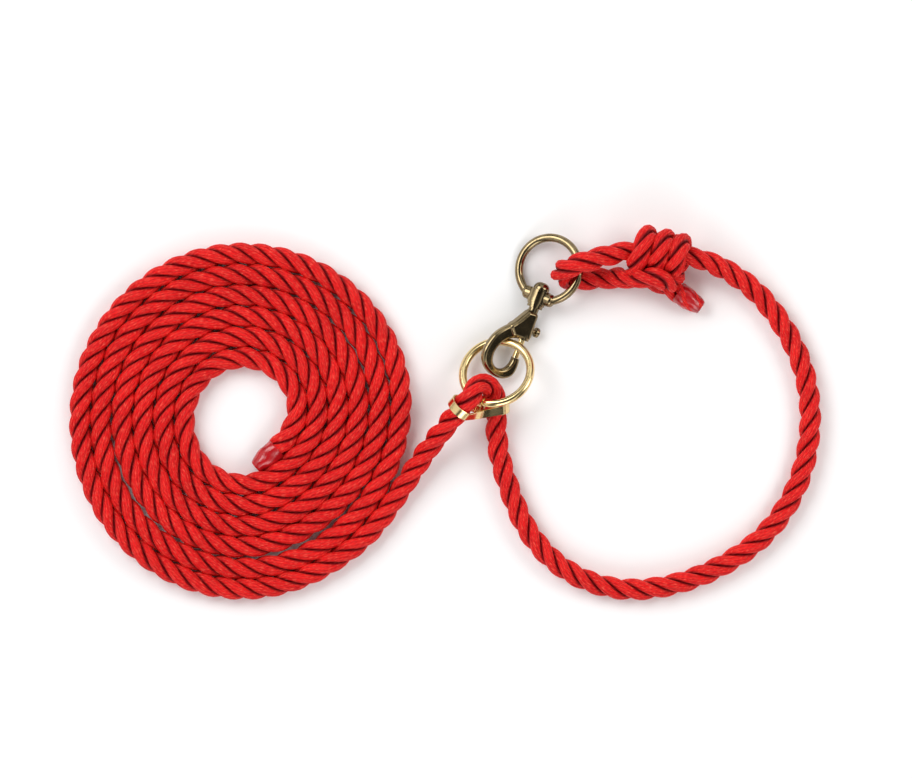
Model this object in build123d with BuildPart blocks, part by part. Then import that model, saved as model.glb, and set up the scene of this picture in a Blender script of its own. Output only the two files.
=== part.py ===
"""Lead rope with a sliding ring and a swivel bolt snap, laid out on a flat surface.

Millimetres. +Z is up from the surface at z = 0. The origin is on the surface, under the middle
of the metal fittings. The rope is one length: a flat coil, the lead, a turn round the tie ring,
the neck loop and the hitch on the snap's eye.
"""

from build123d import *
from math import asin, ceil, cos, floor, pi, radians, sin, tan
import os

# ---------------------------------------------------------------- rope
ROPE_DIAMETER = 12.7
ROPE_RADIUS = ROPE_DIAMETER / 2
FLOOR_CENTRE = ROPE_RADIUS          # centre height of a rope lying on the surface
CORNER_SHARE = 0.45                 # share of the shorter run that an arc takes up

# ---------------------------------------------------------------- coil
COIL_EXIT_X = -95.51                # where the lead leaves the outermost turn
COIL_EXIT_Y = -127.92
COIL_FIRST_RADIUS = 35.2            # mean radius of the innermost full turn
COIL_PITCH = 12.0                   # growth from one turn to the next
COIL_OVAL = 1.45                    # the turns are this much longer along Y, shorter along X
COIL_STEP_ANGLE = -62.0             # where each turn starts stepping outward
COIL_STEP_SPREAD = 95.0             # and over how many degrees it does so
COIL_TURNS = 5
COIL_START_ANGLE = -46.0            # inner end
COIL_START_RADIUS = 25.4            # the inner end is tucked in no closer than this
COIL_END_TUCK = 6.0                 # the sealed inner end points this much towards the middle
COIL_WALL_OFFSET = 5.3              # half the width of a turn where it is pressed by its neighbours
COIL_END_ANGLE = 310.0 + 360.0 * COIL_TURNS
OUTLINE_STEP = 15.0                 # degrees between outline points

# ---------------------------------------------------------------- end sleeves
SLEEVE_RADIUS = 5.8                 # the sealed end is pressed a little thinner than the rope
SLEEVE_LENGTH = 13.0
SLEEVE_TIP = 3.8                    # radius at the tip, where the film is pinched

# ---------------------------------------------------------------- tie ring
RING_RADIUS = 19.8                  # to the middle of the wire
RING_WIRE = 4.8                     # wire diameter
RING_CENTRE = Vector(-11.1, -26.3, 15.35)
RING_TILT = 29.0                    # degrees from level
RING_UPHILL = -65.2                 # compass direction of its high side, from +X towards +Y
WIRE_GAP = 0.35                     # room between the ring's wire and what holds it

# ---------------------------------------------------------------- keeper band
STRIP_WIDTH = 4.4
STRIP_THICKNESS = 1.1
STRIP_GAP = 0.9                     # room between strip and rope
BAND_POST = Vector(-22.4, -49.1, 19.5)     # the post between the two legs of the rope
POST_RADIUS = 1.9
POST_PROUD = 0.4                    # the post stands this much proud of the strip all round
LUG_WALL = 0.8
LUG_LENGTH = 3.6
LUG_ANGLE = 139.0                   # place of the lug round the ring
LUG_STEM_RADIUS = 1.5

# ---------------------------------------------------------------- snap
EYE_CENTRE = Vector(19.1, 32.9, 9.07)
SNAP_HEADING = -110.97              # compass direction from the eye to the hook
SNAP_DIP = 3.6                      # the hook end lies this much lower, in degrees
EYE_ROLL = 21.0                     # turn of the eye about the swivel axis
HOOK_ROLL = -28.0                   # turn of the hook about it
EYE_RADIUS = 18.35
EYE_ROOT = 18.35                    # the wire's middle at the boss, from the swivel frame's start
EYE_WIRE = 4.8
BOSS_RADIUS = 6.0
SWELL_RADIUS = 3.8                  # the eye's wire swells to this where it meets the boss
SWELL_LENGTH = 20.0
SWELL_FILLET = 2.6
BOSS_START = 12.7                   # distances along the swivel axis from the eye's centre
BOSS_END = 20.5
FACE_GAP = 0.12                     # play between turning faces
PIN_RADIUS = 2.2
PIN_CLEARANCE = 0.08
PIN_HEAD_RADIUS = 4.7
PIN_HEAD_HEIGHT = 4.3
PIN_DOME_SHARE = 0.9                # how much of the head's height is domed
PIN_DEPTH = 1.7                     # length of the pin inside the body
WASHER_RADIUS = 5.2
WASHER_THICKNESS = 1.1
COLLAR_RADIUS = 4.6
COLLAR_LENGTH = 1.7
NECK_RADIUS = 3.0
NECK_LENGTH = 2.9
BARREL_RADIUS = 3.8
BARREL_TOP_RADIUS = 3.0             # the barrel narrows towards the neck
WEB_THICKNESS = 7.2                 # the body is thicker between the neck and the hook's root
WEB_FILLET = 2.4
WEB_CORNER = 2.6
BODY_THICKNESS = 5.0
BODY_FILLET = 2.0
BORE_WALL = 0.9                     # metal between the pin's hole and the bolt's bore

# ---------------------------------------------------------------- hook
BARREL_END = 43.3
TIP_FACE = 54.6
TIP_INNER = -2.2
TIP_OUTER = 2.5

# ---------------------------------------------------------------- bolt, knob and spring
BOLT_RADIUS = 1.9
BOLT_CLEARANCE = 0.06
BOLT_BACK = 34.2
BOLT_TRAVEL = 6.5
TIP_GAP = 0.15
STEM_RADIUS = 1.05
STEM_FROM_BACK = 2.6                # stem's distance from the bolt's back end
SLOT_GAP = 0.1
KNOB_RADIUS = 2.9
KNOB_THICKNESS = 2.2
KNOB_REACH = 8.2                    # outer face of the knob from the axis
KNOB_FILLET = 0.6
SPRING_WIRE = 0.4
SPRING_COILS = 7
SPRING_GAP = 0.12

# ---------------------------------------------------------------- hitch
KNOT_RIGHT = Vector(99.5, 40.3, 17.5)     # the standing rope enters here
KNOT_LEFT = Vector(68.0, 44.0, 17.5)       # the upper leg leaves here
KNOT_RADIUS = 16.6                         # outside of the wraps
KNOT_LAST_RADIUS = 13.2                    # the smaller wrap at the right
WRAP_FILLET = 3.0
WRAPS = 3


def coil_radius(angle):
    """Radius of the coiled rope's middle at an angle counted on through all the turns."""
    turns = (angle - COIL_STEP_ANGLE) / 360.0
    whole = floor(turns)
    share = min(1.0, (turns - whole) * 360.0 / COIL_STEP_SPREAD)
    ramp = share * share * (3.0 - 2.0 * share)
    oval = -COIL_OVAL * cos(2.0 * radians(angle))
    return max(COIL_START_RADIUS, COIL_FIRST_RADIUS + COIL_PITCH * (whole - 1 + ramp) + oval)


def from_middle(angle, radius):
    """Step from the coil's middle at an angle."""
    return Vector(radius * cos(radians(angle)), radius * sin(radians(angle)), 0.0)


def coil_point(angle, offset=0.0, height=0.0):
    """Point of the coil at an angle, moved outward by an offset."""
    middle_place = Vector(COIL_EXIT_X, COIL_EXIT_Y, height) - from_middle(COIL_END_ANGLE, coil_radius(COIL_END_ANGLE))
    return middle_place + from_middle(angle, coil_radius(angle) + offset)


def outline(first, last, offset, height):
    """Points every few degrees along one turn, for the coil's outer or inner outline."""
    count = ceil((last - first) / OUTLINE_STEP)
    return [coil_point(first + (last - first) * i / count, offset, height) for i in range(count + 1)]


def corner_radii(points):
    """Radius of each corner's arc, as large as its two runs allow."""
    radii = []
    for before, here, after in zip(points, points[1:], points[2:]):
        run_in = here - before
        run_out = after - here
        half_turn = radians(run_in.get_angle(run_out)) / 2
        radii.append(CORNER_SHARE * min(run_in.length, run_out.length) / tan(half_turn))
    return radii


def rope_tube(name, points, radius=ROPE_RADIUS):
    """Tube along straight runs joined by tangent arcs."""
    radii = corner_radii(points)
    print(name, "radii", [round(value, 1) for value in radii])
    with BuildPart() as tube:
        with BuildLine() as path:
            FilletPolyline(*points, radius=radii)
        route = path.wires()[0]
        with BuildSketch(Plane(origin=route @ 0, z_dir=route % 0)):
            Circle(radius)
        sweep(path=route)
    length = route.length
    print(name, "length", round(length, 1), "volume share", round(tube.part.volume / (pi * radius**2 * length), 4))
    return tube.part, length


def middle(first, second, share=0.5):
    """Point between two others."""
    return first + (second - first) * share


def finish(part, name):
    """Label a piece and write it."""
    part.label = name
    export_step(part, f"parts/{name}.step")
    return part


os.makedirs("parts", exist_ok=True)

# ================================================================ rope route
# Corner points of the uncoiled rope, from the coil to the hitch. Three numbers: x, y, z.
coil_exit = coil_point(COIL_END_ANGLE, 0.0, FLOOR_CENTRE)
exit_heading = Vector(-sin(radians(COIL_END_ANGLE)), cos(radians(COIL_END_ANGLE)), 0.0)

LEAD_ROUTE = [
    coil_exit,
    coil_exit + exit_heading * 18.0,
    Vector(-68.2, -97.4, 6.35),
    Vector(-51.7, -71.9, 11.0),
    Vector(-36.7, -52.9, 23.8),
]
BIGHT_ROUTE = [
    Vector(-26.6, -41.3, 30.9),
    Vector(-21.8, -33.2, 25.0),
    Vector(-15.5, -33.1, 18.7),
    Vector(-12.0, -38.2, 12.4),
    Vector(-11.6, -47.4, 10.8),
    Vector(-11.2, -59.4, 8.0),
]
LOOP_ROUTE = [
    Vector(-10.1, -72.4, 6.6),
    Vector(-4.4, -92.4, 6.35),
    Vector(6.6, -119.0, 6.35),
    Vector(26.8, -140.4, 6.35),
    Vector(54.5, -151.8, 6.35),
    Vector(86.2, -150.7, 6.35),
    Vector(119.1, -138.6, 6.35),
    Vector(146.2, -119.0, 6.35),
    Vector(163.5, -91.3, 6.35),
    Vector(170.4, -59.5, 6.35),
    Vector(168.2, -30.7, 6.35),
    Vector(158.3, -5.3, 6.35),
    Vector(139.3, 20.7, 6.5),
    Vector(119.1, 33.9, 10.0),
    KNOT_RIGHT + Vector(9.0, -2.6, -2.6),
]
EYE_ROUTE = [
    KNOT_LEFT,
    Vector(53.3, 41.4, 21.0),
    Vector(40.8, 38.0, 25.3),
    Vector(30.6, 34.6, 25.3),
    Vector(24.4, 30.7, 15.5),
    Vector(30.3, 26.7, 6.4),
    Vector(43.3, 26.5, 6.5),
    Vector(56.8, 27.6, 8.0),
    Vector(71.3, 29.6, 14.5),
]
TAIL_ROUTE = [
    Vector(82.0, 33.0, 12.0),
    Vector(90.4, 26.4, 8.4),
    Vector(96.4, 20.4, 7.0),
]

RIDING_ROUTE = [
    EYE_ROUTE[-1],
    Vector(78.4, 29.8, 20.5),
    Vector(86.9, 29.2, 20.0),
    Vector(92.8, 31.2, 13.0),
]

lead_split = middle(LEAD_ROUTE[-1], BIGHT_ROUTE[0], 0.3)
loop_split = middle(BIGHT_ROUTE[-1], LOOP_ROUTE[0], 0.5)
loop_route = [loop_split, *LOOP_ROUTE, KNOT_RIGHT]

lead_run, lead_length = rope_tube("lead_run", [*LEAD_ROUTE, lead_split])
slide_bight, bight_length = rope_tube("slide_bight", [lead_split, *BIGHT_ROUTE, loop_split])
neck_loop, loop_length = rope_tube("neck_loop", loop_route)
eye_bight, eye_length = rope_tube("eye_bight", EYE_ROUTE)
knot_tail, tail_length = rope_tube("knot_tail", TAIL_ROUTE)
finish(lead_run, "lead_run")
finish(slide_bight, "slide_bight")
finish(neck_loop, "neck_loop")
finish(eye_bight, "eye_bight")
finish(knot_tail, "knot_tail")

# ================================================================ coil
outer_points = outline(COIL_END_ANGLE - 360.0, COIL_END_ANGLE, COIL_WALL_OFFSET, 0.0)
inner_points = outline(COIL_START_ANGLE, COIL_START_ANGLE + 360.0, -COIL_WALL_OFFSET, 0.0)
with BuildPart() as lead_coil:
    with BuildSketch():
        with BuildLine():
            Spline(*outer_points)
            Line(outer_points[-1], outer_points[0])
        make_face()
        with BuildLine():
            Spline(*inner_points)
            Line(inner_points[-1], inner_points[0])
        make_face(mode=Mode.SUBTRACT)
    extrude(amount=ROPE_DIAMETER)
finish(lead_coil.part, "lead_coil")

coil_length = sum(
    (coil_point(COIL_START_ANGLE + i + 1) - coil_point(COIL_START_ANGLE + i)).length
    for i in range(int(COIL_END_ANGLE - COIL_START_ANGLE))
)
print("coil length", round(coil_length))


# ================================================================ end sleeves
def sleeve(name, start, heading):
    """Film sleeve with the sealed rope end inside it."""
    with BuildPart(Plane(origin=start, z_dir=heading)) as film:
        Cone(SLEEVE_RADIUS, SLEEVE_TIP, SLEEVE_LENGTH, align=(Align.CENTER, Align.CENTER, Align.MIN))
        fillet(film.edges().filter_by(GeomType.CIRCLE).group_by(lambda e: (e.center() - start).length)[-1], 1.5)
    return finish(film.part, name)


coil_inner_end = coil_point(COIL_START_ANGLE, 0.0, FLOOR_CENTRE)
tuck = radians(COIL_START_ANGLE - COIL_END_TUCK)
inner_heading = Vector(sin(tuck), -cos(tuck), 0.0)
coil_end_sleeve = sleeve("coil_end_sleeve", coil_inner_end, inner_heading)
tail_end_sleeve = sleeve("tail_end_sleeve", TAIL_ROUTE[-1], (TAIL_ROUTE[-1] - TAIL_ROUTE[-2]).normalized())

# ================================================================ hitch
# The wraps of the hitch as rounded discs along the standing rope, and the strand that rides on them.
knot_axis = (KNOT_RIGHT - KNOT_LEFT).normalized()
wrap_width = (KNOT_RIGHT - KNOT_LEFT).length / WRAPS


def wrap_disc(index):
    """One wrap of the hitch, a disc with rounded rims."""
    radius = KNOT_LAST_RADIUS if index == WRAPS - 1 else KNOT_RADIUS
    with BuildPart() as disc:
        with BuildSketch(Plane(origin=KNOT_LEFT + knot_axis * (wrap_width * index), z_dir=knot_axis)):
            Circle(radius)
        extrude(amount=wrap_width)
        fillet(disc.edges().filter_by(GeomType.CIRCLE), WRAP_FILLET)
    return disc.part


wraps = [wrap_disc(index) for index in range(WRAPS)]
with BuildPart() as knot_body:
    for disc in wraps:
        add(disc)
    with BuildLine() as riding_path:
        FilletPolyline(*RIDING_ROUTE, radius=corner_radii(RIDING_ROUTE))
    riding_wire = riding_path.wires()[0]
    with BuildSketch(Plane(origin=riding_wire @ 0, z_dir=riding_wire % 0)):
        Circle(ROPE_RADIUS)
    sweep(path=riding_wire)
finish(knot_body.part, "knot_body")

# ================================================================ tie ring
tilt = radians(RING_TILT)
uphill = Vector(cos(radians(RING_UPHILL)), sin(radians(RING_UPHILL)), 0.0)
ring_level = Vector(-sin(radians(RING_UPHILL)), cos(radians(RING_UPHILL)), 0.0)
ring_normal = Vector(0, 0, cos(tilt)) - uphill * sin(tilt)
ring_plane = Plane(origin=RING_CENTRE, x_dir=ring_level, z_dir=ring_normal)
with BuildPart(ring_plane) as tie_ring:
    Torus(RING_RADIUS, RING_WIRE / 2)
finish(tie_ring.part, "tie_ring")

# ================================================================ keeper band
# Two pear-shaped hoops of strip, one round each rope leg, that meet in a V at a post with the
# ring's lug on it.
def ring_place(angle):
    """Point on the ring's middle line and the ring's direction there."""
    rise = Vector(0, 0, sin(tilt)) + uphill * cos(tilt)
    outward = ring_level * cos(radians(angle)) + rise * sin(radians(angle))
    along = rise * cos(radians(angle)) - ring_level * sin(radians(angle))
    return RING_CENTRE + outward * RING_RADIUS, along


def foot(point, first, second):
    """Nearest point to another on the line through two points."""
    line = (second - first).normalized()
    return first + line * (point - first).dot(line)


def pear(span, big, small):
    """Outline of two circles, one at the origin and one at a distance, joined by tangent lines."""
    slope = asin((big - small) / span)
    lean = Vector(-sin(slope), cos(slope))
    mirror_lean = Vector(-sin(slope), -cos(slope))
    far = Vector(span, 0)
    Line(lean * small, far + lean * big)
    ThreePointArc(far + lean * big, (span + big, 0), far + mirror_lean * big)
    Line(far + mirror_lean * big, mirror_lean * small)
    ThreePointArc(mirror_lean * small, (-small, 0), lean * small)


def channel(hold, leg):
    """One half of the band: a pear-shaped hoop from the post round one leg of the rope."""
    reach = hold - BAND_POST
    with BuildPart() as half:
        with BuildSketch(Plane(origin=BAND_POST, x_dir=reach.normalized(), z_dir=leg)):
            with BuildLine():
                pear(reach.length, band_outside, POST_RADIUS)
            make_face()
            with BuildLine():
                pear(reach.length, band_inside, POST_RADIUS - STRIP_THICKNESS)
            make_face(mode=Mode.SUBTRACT)
        extrude(amount=STRIP_WIDTH / 2, both=True)
    return half.part


left_leg = (BIGHT_ROUTE[0] - LEAD_ROUTE[-1]).normalized()
right_leg = (BIGHT_ROUTE[-1] - BIGHT_ROUTE[-2]).normalized()
left_hold = foot(BAND_POST, LEAD_ROUTE[-1], BIGHT_ROUTE[0])
right_hold = foot(BAND_POST, BIGHT_ROUTE[-2], BIGHT_ROUTE[-1])
band_inside = ROPE_RADIUS + STRIP_GAP
band_outside = band_inside + STRIP_THICKNESS
post_axis = (left_leg - right_leg).normalized()
lug_centre, lug_along = ring_place(LUG_ANGLE)
lug_inside = RING_WIRE / 2 + WIRE_GAP
lug_reach = lug_centre - BAND_POST
left_channel = channel(left_hold, left_leg)
right_channel = channel(right_hold, right_leg)
with BuildPart() as keeper_band:
    add(left_channel)
    add(right_channel)
    with BuildSketch(Plane(origin=BAND_POST, z_dir=post_axis)):
        Circle(POST_RADIUS + POST_PROUD)
    extrude(amount=STRIP_WIDTH / 2 + POST_PROUD, both=True)
    with BuildSketch(Plane(origin=BAND_POST, z_dir=lug_reach.normalized())):
        Circle(LUG_STEM_RADIUS)
    extrude(amount=lug_reach.length)
    with BuildSketch(Plane(origin=lug_centre, z_dir=lug_along)):
        Circle(lug_inside + LUG_WALL)
    extrude(amount=LUG_LENGTH / 2, both=True)
    with BuildSketch(Plane(origin=lug_centre, z_dir=lug_along)):
        Circle(lug_inside)
    extrude(amount=LUG_LENGTH, both=True, mode=Mode.SUBTRACT)
finish(keeper_band.part, "keeper_band")
print("keeper solids", len(keeper_band.part.solids()), "post", BAND_POST, "lug", lug_centre)

# ================================================================ snap frame
heading = radians(SNAP_HEADING)
dip = radians(SNAP_DIP)
snap_along = Vector(cos(heading) * cos(dip), sin(heading) * cos(dip), -sin(dip))
snap_side = Vector(-sin(heading), cos(heading), 0.0)
snap_up = snap_along.cross(snap_side)


def rolled(roll):
    """Side and up directions after a turn about the swivel axis that lifts the knob's side."""
    side = snap_side * cos(radians(roll)) + snap_up * sin(radians(roll))
    return side, snap_along.cross(side)


def across(distance, side):
    """Plane square to the swivel axis at a distance from the eye's centre."""
    return Plane(origin=EYE_CENTRE + snap_along * distance, x_dir=side, z_dir=snap_along)


eye_side, eye_up = rolled(EYE_ROLL)
hook_side, hook_up = rolled(HOOK_ROLL)
eye_plane = Plane(origin=EYE_CENTRE, x_dir=snap_along, z_dir=eye_up)
hook_plane = Plane(origin=EYE_CENTRE, x_dir=snap_along, z_dir=hook_up)

# ================================================================ swivel eye
head_start = BOSS_START - PIN_HEAD_HEIGHT - FACE_GAP
swell_along = (BOSS_START + BOSS_END) / 2
with BuildPart() as boss_swell:
    with BuildSketch(Plane(origin=EYE_CENTRE + snap_along * swell_along, z_dir=eye_side)):
        Circle(SWELL_RADIUS)
    extrude(amount=SWELL_LENGTH / 2, both=True)
    fillet(boss_swell.edges().filter_by(GeomType.CIRCLE), SWELL_FILLET)
with BuildPart() as swivel_eye:
    with Locations(eye_plane.shift_origin(EYE_CENTRE + snap_along * (EYE_ROOT - EYE_RADIUS))):
        Torus(EYE_RADIUS, EYE_WIRE / 2)
    add(boss_swell.part)
    with BuildSketch(across(BOSS_START, eye_side)):
        Circle(BOSS_RADIUS)
    extrude(amount=BOSS_END - BOSS_START)
    with BuildSketch(across(0.0, eye_side)):
        Circle(PIN_HEAD_RADIUS + FACE_GAP)
    extrude(amount=BOSS_START, mode=Mode.SUBTRACT)
    with BuildSketch(across(0.0, eye_side)):
        Circle(PIN_RADIUS + PIN_CLEARANCE)
    extrude(amount=BOSS_END + BOSS_START, mode=Mode.SUBTRACT)
finish(swivel_eye.part, "swivel_eye")

# ================================================================ swivel pin and washer
washer_start = BOSS_END + FACE_GAP
collar_start = washer_start + WASHER_THICKNESS + FACE_GAP
with BuildPart() as swivel_pin:
    with BuildSketch(across(head_start, eye_side)):
        Circle(PIN_HEAD_RADIUS)
    extrude(amount=PIN_HEAD_HEIGHT)
    head_rim = swivel_pin.edges().sort_by(lambda e: (e.center() - EYE_CENTRE).length)[0]
    fillet(head_rim, PIN_HEAD_HEIGHT * PIN_DOME_SHARE)
    with BuildSketch(across(BOSS_START - FACE_GAP, eye_side)):
        Circle(PIN_RADIUS)
    extrude(amount=collar_start + PIN_DEPTH - BOSS_START + FACE_GAP)
finish(swivel_pin.part, "swivel_pin")

with BuildPart() as swivel_washer:
    with BuildSketch(across(washer_start, eye_side)):
        Circle(WASHER_RADIUS)
        Circle(PIN_RADIUS + PIN_CLEARANCE, mode=Mode.SUBTRACT)
    extrude(amount=WASHER_THICKNESS)
finish(swivel_washer.part, "swivel_washer")

# ================================================================ snap body
bore_start = collar_start + PIN_DEPTH + BORE_WALL
knob_at = BOLT_BACK + STEM_FROM_BACK
slot_start = knob_at - BOLT_TRAVEL - STEM_RADIUS - SLOT_GAP
slot_end = knob_at + STEM_RADIUS + SLOT_GAP
collar_end = collar_start + COLLAR_LENGTH
barrel_start = collar_end + NECK_LENGTH - 1.0
HOOK_OUTLINE = [
    (barrel_start, -3.2),
    (29.0, -5.1),
    (34.0, -8.3),
    (38.7, -13.2),
    (44.0, -17.9),
    (50.6, -20.6),
    (57.0, -21.3),
    (62.6, -19.5),
    (66.9, -14.7),
    (68.6, -8.4),
    (67.8, -2.1),
    (64.6, 1.8),
    (60.0, TIP_OUTER + 0.5),
    (TIP_FACE, TIP_OUTER),
]
THROAT_OUTLINE = [
    (TIP_FACE, TIP_INNER),
    (58.6, -2.4),
    (62.3, -4.8),
    (63.4, -8.4),
    (61.6, -12.5),
    (57.0, -14.3),
    (51.2, -13.3),
    (46.4, -9.9),
    (BARREL_END + 0.4, -4.1),
]
WEB_OUTLINE = [
    (barrel_start + 0.4, -3.4),
    (34.2, -9.0),
    (38.0, -12.6),
    (BARREL_END, -8.0),
    (BARREL_END, 4.0),
    (barrel_start + 0.4, 3.4),
]
with BuildPart() as web:
    with BuildSketch(hook_plane):
        Polygon(*WEB_OUTLINE, align=None)
    extrude(amount=WEB_THICKNESS / 2, both=True)
    corners = web.edges().filter_by(lambda e: abs((e % 0.5).dot(hook_up)) > 0.9)
    fillet(corners, WEB_CORNER)
    fillet(web.faces().filter_by(Plane(origin=(0, 0, 0), z_dir=hook_up)).edges(), WEB_FILLET)
with BuildPart() as snap_body:
    with BuildSketch(hook_plane):
        with BuildLine():
            Spline(*HOOK_OUTLINE)
            Line(HOOK_OUTLINE[-1], THROAT_OUTLINE[0])
            Spline(*THROAT_OUTLINE)
            Line(THROAT_OUTLINE[-1], (BARREL_END, 0.0))
            Line((BARREL_END, 0.0), (barrel_start, 0.0))
            Line((barrel_start, 0.0), HOOK_OUTLINE[0])
        make_face()
    extrude(amount=BODY_THICKNESS / 2, both=True)
    flat_faces = snap_body.faces().filter_by(Plane(origin=(0, 0, 0), z_dir=hook_up))
    fillet(flat_faces.edges().filter_by(GeomType.BSPLINE), BODY_FILLET)
    add(web.part)
    with BuildSketch(across(collar_start, hook_side)):
        Circle(COLLAR_RADIUS)
    extrude(amount=COLLAR_LENGTH)
    with BuildSketch(across(collar_end - 0.2, hook_side)):
        Circle(NECK_RADIUS)
    extrude(amount=NECK_LENGTH)
    with Locations(across(barrel_start, hook_side)):
        Cone(
            BARREL_TOP_RADIUS,
            BARREL_RADIUS,
            BARREL_END - barrel_start,
            align=(Align.CENTER, Align.CENTER, Align.MIN),
        )
    with BuildSketch(across(collar_start, hook_side)):
        Circle(PIN_RADIUS)
    extrude(amount=PIN_DEPTH, mode=Mode.SUBTRACT)
    with BuildSketch(across(bore_start, hook_side)):
        Circle(BOLT_RADIUS + BOLT_CLEARANCE)
    extrude(amount=BARREL_END - bore_start + 2.0, mode=Mode.SUBTRACT)
    with BuildSketch(Plane(origin=EYE_CENTRE, x_dir=snap_along, z_dir=hook_side)):
        with Locations(((slot_start + slot_end) / 2, 0)):
            SlotOverall(slot_end - slot_start, 2 * (STEM_RADIUS + SLOT_GAP))
    extrude(amount=BARREL_RADIUS + 3.0, mode=Mode.SUBTRACT)
finish(snap_body.part, "snap_body")
print("snap solids", len(snap_body.part.solids()))

# ================================================================ bolt, knob, spring
bolt_end = TIP_FACE - TIP_GAP
with BuildPart() as snap_bolt:
    with BuildSketch(across(BOLT_BACK, hook_side)):
        Circle(BOLT_RADIUS)
    extrude(amount=bolt_end - BOLT_BACK)
    with BuildSketch(Plane(origin=EYE_CENTRE + snap_along * knob_at, x_dir=snap_along, z_dir=hook_side)):
        Circle(STEM_RADIUS)
    extrude(amount=BOLT_RADIUS + 1.0, mode=Mode.SUBTRACT)
finish(snap_bolt.part, "snap_bolt")

with BuildPart() as thumb_knob:
    stem_plane = Plane(origin=EYE_CENTRE + snap_along * knob_at, x_dir=snap_along, z_dir=hook_side)
    with BuildSketch(stem_plane):
        Circle(STEM_RADIUS)
    extrude(amount=KNOB_REACH - KNOB_THICKNESS)
    with BuildSketch(stem_plane.offset(KNOB_REACH - KNOB_THICKNESS)):
        Circle(KNOB_RADIUS)
    extrude(amount=KNOB_THICKNESS)
    rims = thumb_knob.edges().filter_by(GeomType.CIRCLE)
    fillet([e for e in rims if e.radius > KNOB_RADIUS - 0.1], KNOB_FILLET)
finish(thumb_knob.part, "thumb_knob")

spring_outside = BOLT_RADIUS + BOLT_CLEARANCE - SPRING_GAP
spring_middle = spring_outside - SPRING_WIRE / 2
spring_length = BOLT_BACK - bore_start - SPRING_WIRE
with BuildPart() as upright_spring:
    with BuildLine() as spring_line:
        Helix(spring_length / SPRING_COILS, spring_length, spring_middle)
    spring_path = spring_line.wires()[0]
    with BuildSketch(Plane(origin=spring_path @ 0, z_dir=spring_path % 0)):
        Circle(SPRING_WIRE / 2)
    sweep(path=spring_path, is_frenet=True)
spring_seat = across(bore_start + SPRING_WIRE / 2, hook_side)
with BuildPart() as bolt_spring:
    add(Location(spring_seat) * upright_spring.part)
finish(bolt_spring.part, "bolt_spring")

fittings = [tie_ring.part, keeper_band.part, swivel_eye.part, swivel_pin.part, swivel_washer.part]
fittings += [snap_body.part, snap_bolt.part, thumb_knob.part, bolt_spring.part]
box = Compound(children=fittings).bounding_box()
print("fittings box", box.min, box.max, "centre", box.center())
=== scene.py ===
# %% [markdown]
# # Lead rope with a tie ring and a swivel bolt snap
# One length of three-strand rope is coiled at its free end, runs through a small brass band,
# folds round a ring, opens into a neck loop and is hitched to the eye of a swivel snap.
# Everything is in metres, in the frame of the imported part: the surface is z = 0.

import math

import bmesh
import bpy
import numpy as np
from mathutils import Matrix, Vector


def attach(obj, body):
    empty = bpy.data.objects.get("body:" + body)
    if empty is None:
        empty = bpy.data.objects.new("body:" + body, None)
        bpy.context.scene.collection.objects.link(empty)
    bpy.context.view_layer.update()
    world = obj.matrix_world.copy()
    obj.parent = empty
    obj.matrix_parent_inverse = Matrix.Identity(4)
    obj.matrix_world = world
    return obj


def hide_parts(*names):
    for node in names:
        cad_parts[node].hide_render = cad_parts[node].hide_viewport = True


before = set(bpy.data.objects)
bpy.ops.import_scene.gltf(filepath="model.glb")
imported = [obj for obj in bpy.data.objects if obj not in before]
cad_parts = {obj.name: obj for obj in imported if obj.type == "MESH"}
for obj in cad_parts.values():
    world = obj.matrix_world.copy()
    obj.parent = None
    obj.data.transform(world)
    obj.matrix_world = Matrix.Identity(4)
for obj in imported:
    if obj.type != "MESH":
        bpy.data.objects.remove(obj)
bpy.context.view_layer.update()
MM = 0.001

# %% [markdown]
# ## Camera, light and floor
# The rope is seen straight from above through a long lens, so heights hardly shift what is seen.
# The light is a wide soft panel with two smaller ones. The sky is bright all round and dark
# overhead, which draws the bright and dark bands that show a metal's shape.

# %% Camera
VIEW_WIDTH = 0.5262
VIEW_CENTRE = Vector((-0.0344, -0.0362, 0.0))
CAMERA_HEIGHT = 3.0
SENSOR = 36.0

camera_data = bpy.data.cameras.new("camera")
camera_data.sensor_width = SENSOR
camera_data.lens = SENSOR * CAMERA_HEIGHT / VIEW_WIDTH
camera = bpy.data.objects.new("camera", camera_data)
camera.location = VIEW_CENTRE + Vector((0, 0, CAMERA_HEIGHT))
bpy.context.scene.collection.objects.link(camera)
bpy.context.scene.camera = camera


# %% Lights
def area_light(name, place, target, size, power, colour=(1.0, 1.0, 1.0)):
    """A square soft light at a place, turned towards a target."""
    data = bpy.data.lights.new(name, "AREA")
    data.size = size
    data.energy = power
    data.color = colour
    light = bpy.data.objects.new(name, data)
    light.location = place
    light.rotation_euler = (Vector(target) - Vector(place)).to_track_quat("-Z", "Y").to_euler()
    bpy.context.scene.collection.objects.link(light)
    return light


area_light("panel_left", (-0.9, 0.7, 1.3), VIEW_CENTRE, 1.1, 16.0)
area_light("panel_right", (1.0, 0.2, 0.9), VIEW_CENTRE, 0.6, 5.0, (1.0, 0.97, 0.93))
area_light("panel_front", (0.1, -1.2, 0.8), VIEW_CENTRE, 0.7, 4.0, (0.95, 0.97, 1.0))

world = bpy.data.worlds.new("studio")
world.use_nodes = True
bpy.context.scene.world = world
tree = world.node_tree
back = tree.nodes["Background"]
coord = tree.nodes.new("ShaderNodeTexCoord")
split = tree.nodes.new("ShaderNodeSeparateXYZ")
tree.links.new(coord.outputs["Generated"], split.inputs[0])


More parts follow.
